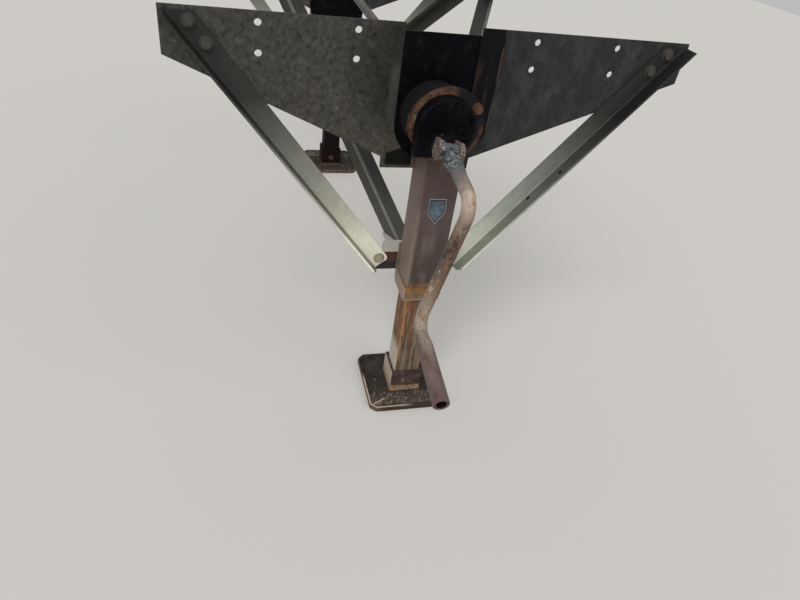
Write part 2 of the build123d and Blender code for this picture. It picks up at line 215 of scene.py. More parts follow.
    def relief(self, value, depth):
        """Bumps of depth metres from the value, chained after any bumps that are there already."""
        node = self.node("Bump", {"Strength": 1.0, "Distance": depth, "Height": value})
        earlier = self.shader.inputs["Normal"]
        if earlier.is_linked:
            self.tree.links.new(earlier.links[0].from_socket, node.inputs["Normal"])
        self.tree.links.new(node.outputs["Normal"], earlier)

    def roughness(self, value, low, high):
        """Roughness that runs from low to high with the value."""
        node = self.node("MapRange", {"Value": value, "To Min": low, "To Max": high})
        self.tree.links.new(node.outputs["Result"], self.shader.inputs["Roughness"])

    def done(self):
        """Links the last coat to the shader and gives back the material."""
        self.tree.links.new(self.colour, self.shader.inputs["Base Color"])
        return self.coat


print("recipe methods", sum(callable(item) for item in vars(Finish).values()))

# %% [markdown]
# ## Oxide primer on the outer tube
# The tube was dipped in red-brown primer long ago. It has gone matt and grey with dust, browner
# near the top, and rust creeps up from the mouth. Height sets where each layer shows, and noise
# breaks every border.

# %% Outer tube finish
def primer_finish():
    """Brown primer with rust near both ends. Painted light makes the face that looks forward paler,
    and a painted highlight runs down the rounded forward corner.
    """
    f = Finish("oxide_primer", 0.72)
    blotch = f.grain(0.05, 6.0, 0.35)
    fine = f.grain(0.006, 5.0)
    height = f.axis("Z")
    f.colour = f.by_value(
        height,
        ((-0.67, 58, 48, 41), (-0.56, 63, 52, 46), (-0.42, 78, 64, 61), (-0.24, 63, 48, 44)))
    f.lay((104, 88, 84), (blotch, 0.5, 0.72, 0.7))
    f.lay((62, 46, 40), (blotch, 0.46, 0.3, 0.6))
    scuffs = f.grain(0.012, 7.0, 0.25, 15.0)
    f.lay((70, 40, 40), (height, -0.36, -0.3), (scuffs, 0.5, 0.66))
    f.lay((122, 108, 98), (scuffs, 0.62, 0.76, 0.5))
    across = f.axis("X")
    # Painted light: the face that looks forward (X below -0.05) is written paler than the front, as
    # where light falls on it.
    side = f.by_value(
        height,
        ((-0.67, 128, 114, 104), (-0.52, 120, 104, 96), (-0.36, 112, 94, 86), (-0.24, 90, 76, 66)))
    f.lay(side, (across, -0.045, -0.0552), (blotch, 0.2, 0.5, 0.92))
    # Painted highlight: a pale band low on the rounded forward corner stands for light on that
    # corner.
    corner = f.near_line((0.0515, -0.1135, 0.0), (0.0, 0.0, 1.0), f.folded())
    worn = f.both(
        (corner, 0.012, 0.004), (scuffs, 0.25, 0.5, 0.75), (height, -0.3, -0.5),
        (across, 0.01, -0.01, 0.6))
    f.lay((128, 110, 98), worn)
    edge = f.both((height, -0.648, -0.668), (f.grain(0.02, 5.0, 0.5, 5.0), 0.3, 0.52))
    f.lay((118, 84, 56), edge)
    pits = f.step(f.grain(0.01, 8.0, 0.8, 9.0), 0.66, 0.74, 0.8)
    f.lay((52, 34, 28), pits)
    f.roughness(blotch, 0.55, 0.85)
    f.relief(fine, 0.0006)
    f.relief(pits, -0.0006)
    return f.done()


oxide_primer = primer_finish()
print(oxide_primer.name, len(oxide_primer.node_tree.nodes), "nodes")

# %% [markdown]
# ## Rusty castings
# The gear housing is cast iron in black paint. Rust has taken its forward side and the flange's
# rim, with pale chips beside the cover. The collar low on the tube is the same iron, tan and
# orange, so height divides them.

# %% Casting finish
def casting_finish():
    """Dark iron, brown on the forward side and the flange's rim. Below Z = -0.66 a tan collar,
    written pale on its forward side as painted light.
    """
    f = Finish("rusty_casting", 0.8, specular=0.25)
    blotch = f.grain(0.04, 7.0)
    small = f.grain(0.01, 7.0, shift=4.0)
    across, height = f.axis("X"), f.axis("Z")
    brown = f.mix((62, 44, 35), (100, 72, 54), (blotch, 0.4, 0.6))
    brown = f.mix(brown, (132, 86, 52), (small, 0.56, 0.7, 0.7))
    brown = f.mix(brown, (36, 26, 24), (f.grain(0.03, 6.0, shift=8.0), 0.58, 0.7, 0.85))
    rim = f.step(f.from_axis(flange_middle), 0.085, 0.091)
    front = f.step(f.joined(across, f.both(blotch, 0.03), "ADD"), 0.022, -0.004)
    out_far = f.axis("Y", f.folded())
    slope = f.vector("DOT_PRODUCT", f.folded(), (0.0, 1.0, 0.35))
    front = f.both(front, (slope, -0.118, -0.15), (blotch, 0.25, 0.5, 0.9))
    rim = f.both(
        rim, f.either((across, -0.005, -0.03), (height, -0.14, -0.165, 0.6)),
        (out_far, -0.112, -0.117))
    f.colour = f.mix((17, 16, 21), brown, f.either(front, rim))
    beside = f.from_axis(cover_middle)
    chips = f.both(
        (beside, 0.0885, 0.08), (f.grain(0.022, 7.0, shift=27.0), 0.5, 0.6, 0.85),
        (out_far, -0.124, -0.127), (across, 0.0, -0.02), (height, -0.15, -0.135))
    f.lay((120, 110, 98), chips)
    f.lay((92, 62, 44), (f.from_axis(lug_middle), 0.017, 0.0145), (small, 0.3, 0.5))
    soft = f.grain(0.022, 5.0, shift=12.0)
    collar = f.mix((104, 88, 66), (124, 104, 80), (soft, 0.42, 0.6))
    collar = f.mix(collar, (142, 96, 50), (height, -0.7, -0.68), (soft, 0.34, 0.6))
    collar = f.mix(collar, (66, 50, 40), (small, 0.6, 0.72, 0.6))
    collar = f.mix(collar, (150, 134, 112), (height, -0.7125, -0.7145))
    # Painted light: the collar's side that looks forward is written pale, as where light falls on
    # it.
    lit_collar_side = f.either((f.facing(), -0.5, -0.9), (across, -0.0545, -0.057))
    collar = f.mix(collar, (150, 132, 118), lit_collar_side, (small, 0.3, 0.45))
    f.lay(collar, (height, -0.6, -0.66))
    f.roughness(blotch, 0.65, 0.95)
    f.relief(small, 0.0018)
    f.relief(f.grain(0.003, 3.0), 0.0004)
    return f.done()


rusty_casting = casting_finish()
print(rusty_casting.name, len(rusty_casting.node_tree.nodes), "nodes")

# %% [markdown]
# ## Black paint on the cover
# The cover still has its black enamel. It is nearly black with a cold tint, dull where dust lies,
# and glossy enough in between to catch the light on its rounded edge.

# %% Cover finish
def enamel_finish():
    """Near-black paint with a blue cast, dusty blotches and a few rust pricks."""
    f = Finish("black_enamel", 0.4, specular=0.08)
    dust = f.grain(0.03, 6.0)
    f.colour = f.mix((4, 4, 8), (24, 24, 28), (dust, 0.5, 0.75, 0.8))
    f.lay((46, 32, 28), (f.grain(0.008, 5.0, shift=2.0), 0.68, 0.74, 0.8))
    f.roughness(dust, 0.35, 0.75)
    f.relief(f.grain(0.004, 4.0), 0.0003)
    return f.done()


black_enamel = enamel_finish()
print(black_enamel.name, "ready")

# %% [markdown]
# ## Weathered zinc
# Plates and braces are hot-dip galvanised. Old zinc is grey with pale and dark clouds, dirty runs
# and specks. One function makes every zinc: the plates are dark, the braces go from pale at their
# feet to dark at their heads as painted shade, and the shelf is pale all over.

# %% Zinc finishes
def zinc_finish(name, stops, cloud_share, cloud_size=0.03, grit=0.0, specular=0.3):
    """Grey that runs through the stops with height, then clouds, dirty runs and fine specks."""
    f = Finish(name, 0.65, specular=specular)
    cloud = f.grain(cloud_size, 7.0)
    runs = f.grain(0.02, 6.0, 0.3, 6.0)
    f.colour = f.by_value(f.axis("Z"), stops)
    pale = f.toned(1.42, 1.4, 1.36)
    deep = f.toned(0.6, 0.6, 0.58)
    f.lay(pale, (cloud, 0.5, 0.68, cloud_share))
    f.lay(deep, (cloud, 0.48, 0.32, cloud_share))
    f.lay(deep, (runs, 0.56, 0.72, cloud_share))
    specks = f.grain(0.0035, 5.0)
    f.lay(deep, (specks, 0.6, 0.72, cloud_share))
    f.lay(pale, (specks, 0.4, 0.28, cloud_share))
    if grit:
        crust = f.grain(0.012, 8.0, 0.8, 40.0)
        f.lay(f.toned(1.5, 1.48, 1.44), (crust, 0.52, 0.62, grit))
        f.lay(f.toned(0.5, 0.5, 0.49), (crust, 0.46, 0.37, grit))
    f.roughness(cloud, 0.5, 0.85)
    f.relief(specks, 0.0004)
    return f


def plate_finish():
    """Mottled plate, paler to the front. Painted shade darkens it towards the top and round the
    gearbox, and a painted shadow of the gearbox lies at its foot.

    Behind the gearbox, painted shade of the notch, in black, laps over its outboard face: a strip
    above, a round end below.
    """
    f = zinc_finish(
        "plate_zinc",
        ((-0.33, 74, 71, 64), (-0.2, 68, 66, 60), (-0.08, 67, 65, 60), (0.06, 64, 63, 59)), 0.75,
        cloud_size=0.018, grit=0.75, specular=0.15)
    across = f.axis("X")
    height = f.axis("Z")
    # Painted shade: the upper plate round the gearbox is darkened, and the stops above also darken
    # towards the top.
    painted_shade_near_gear = f.both((f.from_axis((-0.02, -0.06)), 0.3, 0.14), (height, -0.26, -0.14))
    f.lay(f.toned(0.47, 0.46, 0.44), painted_shade_near_gear)
    rear = f.mix((36, 36, 37), (54, 57, 58), (f.grain(0.05, 6.0, 0.6, 21.0), 0.42, 0.66))
    f.lay(rear, (across, 0.06, 0.1), 0.75)
    light_run = f.both(
        (across, -0.152, -0.142), (across, -0.118, -0.132), (height, -0.22, -0.16),
        (height, -0.02, -0.06))
    f.lay((76, 76, 72), light_run, 0.5)
    # Painted shadow: the gearbox's shadow, written near black, on the plate's lower foot.
    patch = f.both((across, -0.142, -0.134), (across, -0.04, -0.06))
    tilt = f.vector("DOT_PRODUCT", f.place, (-0.33, 0.0, 1.0))
    patch = f.both(patch, (tilt, -0.232, -0.24), (height, -0.322, -0.312))
    f.lay((8, 9, 7), patch, 0.97)
    # Painted shade: the dark notch behind the gearbox, written black with a brown edge, laps over
    # the plate's outboard face.
    round_end = f.step(f.from_axis((0.04, -0.19)), 0.109, 0.1075)
    notch_shade = f.either(round_end, f.both((height, -0.192, -0.19), (across, 0.149, 0.1475)))
    notch_shade = f.both(notch_shade, (across, 0.04, 0.05), (f.axis("Y"), -0.003, -0.0035))
    stripes = f.grain(0.016, 5.0, 0.15, 44.0)
    paint = f.mix((6, 5, 8), (40, 30, 26), (stripes, 0.52, 0.66))
    bank = f.both((across, 0.143, 0.1455), (stripes, 0.36, 0.48))
    f.lay(f.mix(paint, (70, 56, 47), bank), notch_shade)
    return f.done()


def brace_finish():
    """Painted shade: pale at the foot and dark at the head, darker on the rear braces, and darker
    still on the ledge outboard of the flat leg.
    """
    stops = (
        (-0.66, 234, 232, 214), (-0.56, 231, 230, 210), (-0.46, 182, 182, 166),
        (-0.36, 146, 146, 135), (-0.24, 98, 98, 90), (-0.14, 52, 51, 48), (0.05, 40, 39, 37))
    f = zinc_finish("brace_zinc", stops, 0.16, grit=0.13)
    # Painted shade: the rear braces (X above 0) are darkened.
    f.lay(f.toned(0.79, 0.83, 0.86), (f.axis("X"), 0.0, 0.05))
    # Painted shade: the ledge, outboard of the flat leg, is darkened as the shaded upper face of
    # that leg.
    outboard = f.axis("Y", f.folded())
    ledge = f.both((outboard, -0.0125, -0.0165), (outboard, -0.0575, -0.0545))
    f.lay(f.toned(0.42, 0.4, 0.39), ledge, 0.95)
    f.lay((60, 56, 48), (f.grain(0.009, 6.0, shift=31.0), 0.66, 0.72, 0.55))
    return f.done()


# The inner brace's corner line from foot to top, and the way that its corner points.
foot, top_end = np.array([0.049, 0.030, -0.604]), np.array([0.404, 0.748, 0.050])
brace_roll = np.radians(28.0)
run_dir = (top_end - foot) / np.linalg.norm(top_end - foot)
heel_way = np.array([0.0, -1.0, 1.0])
heel_way -= run_dir * (heel_way @ run_dir)
heel_way /= np.linalg.norm(heel_way)
heel_way = heel_way * np.cos(brace_roll) + np.cross(run_dir, heel_way) * np.sin(brace_roll)


def inner_brace_finish():
    """Dark grey angle, darker towards the top as painted shade, whose outer corner is pale to some
    7 mm on each side: rubbed zinc with a painted highlight.
    """
    f = zinc_finish(
        "inner_zinc",
        ((-0.6, 76, 75, 70), (-0.45, 62, 60, 56), (-0.3, 55, 52, 47), (0.05, 48, 48, 46)), 0.3,
        grit=0.25)
    corner = f.near_line(foot, run_dir, f.folded())
    rubbed = f.step(f.grain(0.03, 6.0, (0.5, 0.5, 0.5), 14.0), 0.2, 0.55, 0.95)
    # Rubbed zinc and a painted highlight along the corner.
    f.lay((112, 112, 107), (corner, 0.0085, 0.0062), rubbed)
    return f.done()


plate_zinc = plate_finish()
brace_zinc = brace_finish()
inner_zinc = inner_brace_finish()
shelf_zinc = zinc_finish("shelf_zinc", ((-0.62, 184, 182, 174), (-0.56, 176, 174, 166)), 0.2).done()
gusset_zinc = zinc_finish("gusset_zinc", ((0.0, 84, 83, 79), (0.06, 84, 83, 79)), 0.5).done()
print("zinc finishes", 5)

# %% [markdown]
# ## Red-brown bracket paint
# The lower bracket keeps a deep red primer, shaded and dirty. Blotches mix its red with brown, and
# its bottom edge is painted dark grey as shade.

# %% Bracket finish
def bracket_finish():
    """Deep red primer with brown dirt, and painted shade along its bottom edge."""
    f = Finish("bracket_red", 0.7)
    blotch = f.grain(0.02, 6.0)
    f.colour = f.mix((78, 42, 36), (58, 44, 40), (blotch, 0.45, 0.65))
    f.lay((112, 74, 54), (f.grain(0.01, 5.0, shift=3.0), 0.62, 0.72, 0.8))
    # Painted shade: near black along the bracket's bottom edge.
    f.lay((40, 38, 38), (f.axis("Z"), -0.644, -0.65))
    f.relief(blotch, 0.0008)
    return f.done()


bracket_red = bracket_finish()
print(bracket_red.name, "ready")

# %% [markdown]
# ## Rust-streaked inner tube and shoes
# The sliding tube was greased and bare, so rust and water have drawn long streaks on it: orange at
# the corners, grey-brown in the middle, greenish low down, and a pale scraped patch on its forward
# face. The shoes are scaled steel, with a tan band along the socket's weld, and the far leg's
# maroon paint is written very dark as painted shade.

# %% Inner tube and shoe finishes
def streak_finish():
    """Streaks along Z in rust tones: orange corners, greenish low down, a pale scraped patch."""
    f = Finish("tube_streaks", 0.75, specular=0.3)
    runs = f.grain(0.011, 7.0, 0.1)
    wide = f.grain(0.024, 7.0, 0.16, 5.0)
    height = f.axis("Z")
    f.colour = f.mix((78, 60, 48), (126, 108, 90), (runs, 0.4, 0.6))
    f.lay((112, 70, 42), (wide, 0.48, 0.62, 0.9), (height, -1.0, -0.86))
    f.lay((56, 34, 24), (f.grain(0.009, 6.0, 0.14, 9.0), 0.6, 0.7, 0.9))
    f.lay((94, 90, 68), (height, -0.88, -0.98), (wide, 0.6, 0.36, 0.75))
    corner = f.near_line((0.0425, -0.1045, 0.0), (0.0, 0.0, 1.0), f.folded())
    flakes = f.grain(0.016, 7.0, 0.35, 19.0)
    edge = f.both((corner, 0.016, 0.006), (flakes, 0.44, 0.54))
    f.lay((150, 102, 62), edge, (height, -1.02, -0.92))
    bare = f.both((corner, 0.004, 0.002), (flakes, 0.6, 0.46))
    f.lay((158, 138, 112), bare, 0.8)
    pits = f.both((corner, 0.022, 0.008), (flakes, 0.42, 0.36))
    f.lay((58, 32, 20), pits, 0.85)
    forward = f.facing()
    side = f.mix((84, 64, 44), (138, 98, 58), (wide, 0.42, 0.56))
    side = f.mix(side, (58, 36, 24), (runs, 0.56, 0.66, 0.8))
    f.lay(side, (forward, -0.5, -0.9), 0.85)
    # Painted shade: a dark band just below the collar, where the collar's shade falls on the
    # sliding tube.
    f.lay((30, 20, 16), (height, -0.735, -0.722), (runs, 0.7, 0.45, 0.9))
    scraped = f.both((forward, -0.5, -0.9), (height, -0.9, -0.955))
    f.lay((182, 173, 160), scraped, (runs, 0.22, 0.42, 0.95))
    f.relief(runs, 0.0012)
    f.relief(f.grain(0.004, 4.0), 0.0004)
    return f.done()


def shoe_finish():
    """Purple-brown scale on the socket, a tan weld band, a rim rubbed pale, a dirty brown floor."""
    f = Finish("shoe_rust", 0.85, specular=0.25)
    blotch = f.grain(0.03, 7.0)
    small = f.grain(0.008, 7.0, shift=7.0)
    height, across = f.axis("Z"), f.axis("X")
    outboard = f.axis("Y", f.folded())
    forward, upward = f.facing(), f.facing("Z")
    f.colour = f.mix((58, 46, 44), (84, 70, 64), (blotch, 0.42, 0.62))
    f.lay((102, 84, 72), (small, 0.6, 0.72, 0.8))
    # Painted light: faces that look forward above the pan are written pale.
    f.lay((182, 164, 151), (forward, -0.5, -0.9), (height, -1.12, -1.1, 0.92))
    at_socket = f.step(f.near_line((0.0, tube_mid, 0.0), (0.0, 0.0, 1.0), f.folded()), 0.086, 0.082)
    band = f.both((height, -1.09, -1.098), at_socket, (small, 0.32, 0.5, 0.95))
    f.lay((158, 128, 98), band, (height, -1.121, -1.117))
    f.lay((52, 44, 37), (height, -1.1165, -1.1185))
    skirt = f.both((height, -1.109, -1.1108), (upward, 0.5, 0.2))
    f.lay((92, 80, 66), skirt, (f.from_axis((0.0, -1.13)), 0.08, 0.12))
    rim = f.both((upward, 0.6, 0.9), (height, -1.1125, -1.1115), (height, -1.105, -1.1095))
    rubbed = f.either(
        (across, -0.095, -0.125), f.both((outboard, 0.0, -0.05), (across, 0.02, -0.02)))
    rubbed = f.both(rubbed, (outboard, -0.02, -0.06))
    f.lay((54, 45, 38), rim)
    f.lay((190, 168, 150), rim, rubbed, (small, 0.28, 0.42))
    f.relief(blotch, 0.0016)
    f.relief(small, 0.0008)
    return f.done()


def maroon_finish(name, base, patch, dusty_foot=False):
    """Dark maroon paint with patches and a few rust scabs, and a dusty foot if asked for."""
    f = Finish(name, 0.75, specular=0.15)
    blotch = f.grain(0.03, 7.0)
    small = f.grain(0.008, 6.0, shift=4.0)
    f.colour = f.mix(base, patch, (blotch, 0.48, 0.7))
    f.lay((84, 54, 40), (small, 0.66, 0.74, 0.7))
    if dusty_foot:
        foot_dust = f.mix((70, 58, 46), (102, 90, 74), (small, 0.42, 0.6))
        f.lay(foot_dust, (f.axis("Z"), -1.1, -1.112))
    f.relief(small, 0.0008)
    return f.done()


tube_streaks = streak_finish()
shoe_rust = shoe_finish()
# Painted shade: the far leg's maroon is written very dark.
far_shaded_maroon = maroon_finish("far_shaded_maroon", (14, 5, 5), (30, 16, 12))
far_shaded_shoe = maroon_finish("far_shaded_shoe", (18, 7, 7), (34, 18, 14), True)
print(tube_streaks.name, shoe_rust.name, far_shaded_maroon.name)

# %% [markdown]
# ## The crank's pipe
# The crank is bare pipe worn by hands and weather: pale and pinkish where it is rubbed, orange and
# dark where rust pits it, and greyer towards the head. The pattern is drawn out along the arm. Its
# rear side is painted darker as shade, and its open end is painted near black as the shade in its
# bore.

# %% Crank finishes
swing, droop = np.radians(8.0), np.radians(8.4)
pin = np.array([-0.043, -0.240, -0.170])


def swung(v):
    """The direction v turned about Y by the crank's swing."""
    x, y, z = v
    cosine, sine = np.cos(swing), np.sin(swing)
    return np.array([x * cosine + z * sine, y, -x * sine + z * cosine])


shaft_way = swung((0.0, -np.cos(droop), -np.sin(droop)))
arm_way = swung((0.0, np.sin(droop), -np.cos(droop)))
pin_way = swung((1.0, 0.0, 0.0))
grip_axis = pin + shaft_way * 0.213 + arm_way * 0.385


def pipe_finish():
    """Tones run down the arm and out along the grip, then rust, pale patches and dark pits."""
    f = Finish("crank_pipe", 0.7, specular=0.3)
    blotch = f.grain(0.03, 7.0, (1.0, 0.6, 0.5))
    small = f.grain(0.008, 7.0, shift=5.0)
    height, depth = f.axis("Z"), f.axis("Y")
    stops = (
        (-0.58, 150, 136, 124), (-0.53, 158, 144, 132), (-0.45, 124, 104, 84), (-0.38, 94, 82, 76),
        (-0.3, 104, 90, 80), (-0.25, 134, 118, 104), (-0.205, 178, 160, 146))
    arm = f.by_value(height, stops)
    reach_stops = ((-0.455, 172, 154, 140), (-0.4, 150, 134, 124), (-0.36, 112, 106, 102),
                   (-0.28, 92, 94, 95))
    reach = f.by_value(depth, reach_stops)
    grip = f.by_value(
        depth,
        ((-0.65, 104, 84, 78), (-0.55, 110, 92, 88), (-0.46, 99, 83, 76), (-0.4, 114, 99, 90)))
    f.colour = f.mix(arm, reach, (depth, -0.44, -0.41), (height, -0.26, -0.235))
    f.lay(grip, (height, -0.566, -0.582))
    pale = f.toned(1.36, 1.34, 1.3)
    deep = f.toned(0.62, 0.52, 0.46)
    f.lay(pale, (blotch, 0.5, 0.66, 0.6))
    f.lay(deep, (blotch, 0.48, 0.34, 0.6))
    above_grip = f.both((depth, -0.36, -0.42), (height, -0.585, -0.54))
    # Painted shade: the arm's rear side, away from the light, is written darker and more orange.
    sideways = f.vector("DOT_PRODUCT", f.vector("SUBTRACT", f.place, tuple(pin)), tuple(pin_way))
    shaded_side = f.both((sideways, -0.004, 0.012, 0.85), above_grip)
    f.lay(f.toned(0.74, 0.6, 0.48), shaded_side)
    scabs = f.grain(0.02, 7.0, 0.5, 23.0)
    f.lay((140, 94, 58), (scabs, 0.54, 0.64, 0.7), above_grip)
    dents = f.grain(0.026, 7.0, 0.6, 37.0)
    dark_dents = f.both((dents, 0.56, 0.64, 0.85), above_grip, (height, -0.235, -0.26))
    f.lay((62, 42, 32), dark_dents)
    f.lay((190, 170, 156), (dents, 0.42, 0.34, 0.75), above_grip)
    pits = f.step(f.grain(0.007, 6.0, shift=17.0), 0.62, 0.7, 0.8)
    f.lay((70, 46, 38), pits)
    # Painted shade: the grip's open end is written near black for the shade inside its bore.
    bore_shade = f.step(f.near_line(grip_axis, shaft_way), 0.0142, 0.0136)
    f.lay((6, 4, 4), bore_shade, (depth, -0.46, -0.48))
    f.roughness(blotch, 0.5, 0.85)
    f.relief(blotch, 0.003)
    f.relief(dents, -0.003)
    f.relief(small, 0.001)
    f.relief(pits, -0.0006)
    return f.done()


def head_finish(name, base, rusty, share):
    """Zinc-plated forging: cold grey with scuffs, and rust where the zinc has worn through."""
    f = Finish(name, 0.5, 0.35)
    blotch = f.grain(0.02, 7.0)
    small = f.grain(0.006, 6.0, shift=3.0)
    f.colour = f.mix(base, (172, 174, 172), (small, 0.53, 0.62, 0.85))
    f.lay((38, 44, 52), (f.grain(0.014, 6.0, shift=8.0), 0.52, 0.6, 0.85))
    f.lay(rusty, (blotch, 0.62 - share * 0.25, 0.7 - share * 0.25))
    # Painted shade: the yoke's web between the ears is written near black, as the shade there.
    if name == "yoke_iron":
        f.lay((8, 8, 12), (f.axis("Y"), -0.216, -0.206))
    f.roughness(blotch, 0.35, 0.75)
    f.relief(small, 0.0012)
    return f.done()


crank_pipe = pipe_finish()
head_zinc = head_finish("head_zinc", (92, 98, 102), (112, 84, 66), 0.1)
yoke_iron = head_finish("yoke_iron", (112, 102, 96), (116, 80, 56), 0.45)
shaft_zinc = head_finish("shaft_zinc", (96, 96, 94), (110, 74, 52), 0.35)
print("crank finishes ready")

# %% [markdown]
# ## Dressing the CAD nodes
# A CAD node keeps its shape and only gets a finish, through its own material slots.

# %% Give every node its finish
coats = (
    (oxide_primer, "outer_tube"), (rusty_casting, "collar gear_housing"),
    (tube_streaks, "inner_tube"), (shoe_rust, "shoe shoe_pin"), (plate_zinc, "wing_plate"),
    (black_enamel, "backing_plate gear_cover"), (bracket_red, "lower_bracket"),
    (shelf_zinc, "brace_shelf"), (brace_zinc, "front_brace rear_brace"),
    (inner_zinc, "front_inner_brace rear_inner_brace"), (gusset_zinc, "front_gusset rear_gusset"),
    (shaft_zinc, "output_stub coupling cross_shaft input_shaft yoke_pin"),
    (yoke_iron, "crank_yoke"), (crank_pipe, "crank_handle crank_grip"))
finish_of = {stem: coat for coat, stems in coats for stem in stems.split()}
far_finish_of = {
    "outer_tube": far_shaded_maroon, "inner_tube": far_shaded_maroon, "collar": far_shaded_maroon, "shoe": far_shaded_shoe}
for name, node in nodes.items():
    stem = name.removesuffix("_left").removesuffix("_right")
    far_node = name.endswith("_right") and stem in far_finish_of
    for slot in node.material_slots:
        slot.material = far_finish_of[stem] if far_node else finish_of[stem]
print("dressed", len(nodes), "nodes")

# %% [markdown]
# ## From surfaces to meshes
# Every added piece is a grid of points worked out with numpy. One helper turns grids into a mesh,
# closes seams and poles by merging equal points, turns the faces outwards and keeps sharp edges
# sharp.

# %% Mesh helper
def piece_from(name, grids, coat, body, far_side=False):
    """Joins grids of shape (rows, columns, 3) into one mesh on body. far_side mirrors it in Y."""
    points, faces, start = [], [], 0
    for grid in grids:
        rows, columns = grid.shape[:2]
        index = start + np.arange(rows * columns).reshape(rows, columns)
        quads = np.stack([index[:-1, :-1], index[1:, :-1], index[1:, 1:], index[:-1, 1:]], -1)
        points.append(grid.reshape(-1, 3))
        faces.append(quads.reshape(-1, 4))
        start += rows * columns
    cloud = np.concatenate(points)
    if far_side:
        cloud = cloud * [1.0, -1.0, 1.0] + [0.0, 2 * centre_y, 0.0]
    mesh = bpy.data.meshes.new(name)
    mesh.from_pydata(cloud.tolist(), [], np.concatenate(faces).tolist())
    work = bmesh.new()
    work.from_mesh(mesh)
    bmesh.ops.remove_doubles(work, verts=work.verts, dist=1e-6)
    bmesh.ops.recalc_face_normals(work, faces=work.faces)
    for edge in work.edges:
        edge.smooth = edge.calc_face_angle(0.0) < np.radians(38)
    for face in work.faces:
        face.smooth = True
    work.to_mesh(mesh)
    work.free()
    mesh.materials.append(coat)
    piece = bpy.data.objects.new(name, mesh)
    bpy.context.scene.collection.objects.link(piece)
    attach(piece, body)
    return piece


def on_both_legs(stem, grids, coat, body="frame", far_coat=None):
    """The piece on the near leg and its mirror image. In body, {} stands for left or right."""
    near = piece_from(stem + "_left", grids, coat, body.format("left"))
    piece_from(stem + "_right", grids, far_coat or coat, body.format("right"), True)
    print(stem, len(near.data.polygons), "faces a side")


def slab(top, under):
    """The grids of a thin closed slab: its top, its underside and the four edges between them."""
    ends = [np.stack([top[k], under[k]]) for k in (0, -1)]
    return [top, under] + ends + [np.stack([top[:, k], under[:, k]]) for k in (0, -1)]


def ring_of(angle, first, second):
    """Unit vectors at the angles, measured from first towards second."""
    return np.cos(angle)[:, None] * first + np.sin(angle)[:, None] * second


def sway(points, size, seed):
    """A smooth random field: twice the mean of eight sine waves in random directions.

    Each is about size metres long.
    """
    dice = np.random.default_rng(seed)
    ways = dice.normal(size=(8, 3)) * 2 * np.pi / size / 1.7
    starts = dice.uniform(0, 2 * np.pi, 8)
    return np.sin(points @ ways.T + starts).mean(-1) * 2.0


print("mesh helper ready")

# %% [markdown]
# ## Bolts
# A hexagon head is a turned form whose radius, at each angle, is half the width across the flats
# divided by the cosine of the angle to the middle of the nearest flat. The chamfer pulls its top
# back towards a circle.

# %% Bolt surfaces
def turned(centre, axis, radii, heights, flats=0.0):
    """Points at centre + height along axis + radius round it, as a hexagon if flats is given."""
    axis = np.asarray(axis, float) / np.linalg.norm(axis)
    aside = np.cross(axis, [0.0, 0.0, 1.0] if abs(axis[2]) < 0.9 else [1.0, 0.0, 0.0])
    aside /= np.linalg.norm(aside)
    angle = np.linspace(0, 2 * np.pi, 49)
    radii, heights = np.asarray(radii, float), np.asarray(heights, float)
    spread = np.tile(radii[:, None], (1, len(angle)))
    if flats:
        spread = np.minimum(spread / np.cos(angle % (np.pi / 3) - np.pi / 6), flats / 2 * 1.13)
        spread[-2] = np.minimum(spread[-2], flats / 2 * 0.98)
    ring = ring_of(angle, aside, np.cross(axis, aside))
    return np.asarray(centre, float) + heights[:, None, None] * axis + spread[:, :, None] * ring


def hex_bolt(seat, axis, flats, height, washer=0.0):
    """A washer, if it has a radius, then a chamfered hexagon head, both closed."""
    grids, thickness = [], 0.0
    if washer:
        thickness = 0.0025
        grids.append(turned(seat, axis, [0, washer, washer, 0], [0, 0, thickness, thickness]))
    base = np.asarray(seat) + np.asarray(axis) * thickness
    half = flats / 2
    head_radii, head_heights = [0, half, half, half * 0.92, 0], [0, 0, height * 0.8, height, height]
    return grids + [turned(base, axis, head_radii, head_heights, flats)]


out, inward = (0.0, -1.0, 0.0), (0.0, 1.0, 0.0)
brace_flats, brace_head, brace_nut, brace_washer = 0.0235, 0.010, 0.013, 0.017
shank_radius, shank_end = 0.0078, 0.007


def brace_bolt(x, z, inner_face):
    """A head on the brace, and inboard of inner_face a nut and the rounded end of the shank."""
    shank = [0, shank_radius, shank_radius, shank_radius * 0.75, 0]
    end = [0, 0, shank_end * 0.8, shank_end, shank_end]
    return (hex_bolt((x, -0.012, z), out, brace_flats, brace_head, brace_washer)
            + hex_bolt((x, inner_face, z), inward, brace_flats, brace_nut, brace_washer)
            + [turned((x, inner_face + 0.0155, z), inward, shank, end)])


brace_bolts = []
for x, z in bolt_spots:
    brace_bolts += brace_bolt(x, z, 0.002)
along = np.array([np.cos(brace_slope), 0.0, np.sin(brace_slope)])
lower_bolt = np.array([bolt_spots[1][0], 0.0, bolt_spots[1][1]])
for side in (-1, 1):
    for reach in (0.775, 0.835):
        spot = lower_bolt + along * reach
        brace_bolts += brace_bolt(side * spot[0], spot[2], 0.0)
# Painted shade: the bolts' zinc darkens upwards like the braces'.
bolt_shade_stops = ((-0.66, 158, 152, 132), (-0.45, 140, 136, 124), (-0.1, 70, 67, 62))
bolt_zinc = zinc_finish("bolt_zinc", bolt_shade_stops, 0.35).done()
on_both_legs("brace_bolts", brace_bolts, bolt_zinc)

# %% [markdown]
# ## Screws round the gear cover
# Small screws hold the cover. They sit on a circle inside its rounded edge, and the near cover has
# one more in its low corner. A larger bolt sits on the lug of each housing.

# %% Cover screws
screw_circle, screw_flats, screw_head, screw_washer = 0.066, 0.011, 0.005, 0.008
near_angles, far_angles = (20, 75, 125, 180, 290, 330), (30, 90, 150, 210, 270, 330)
far_cover_face = -0.144


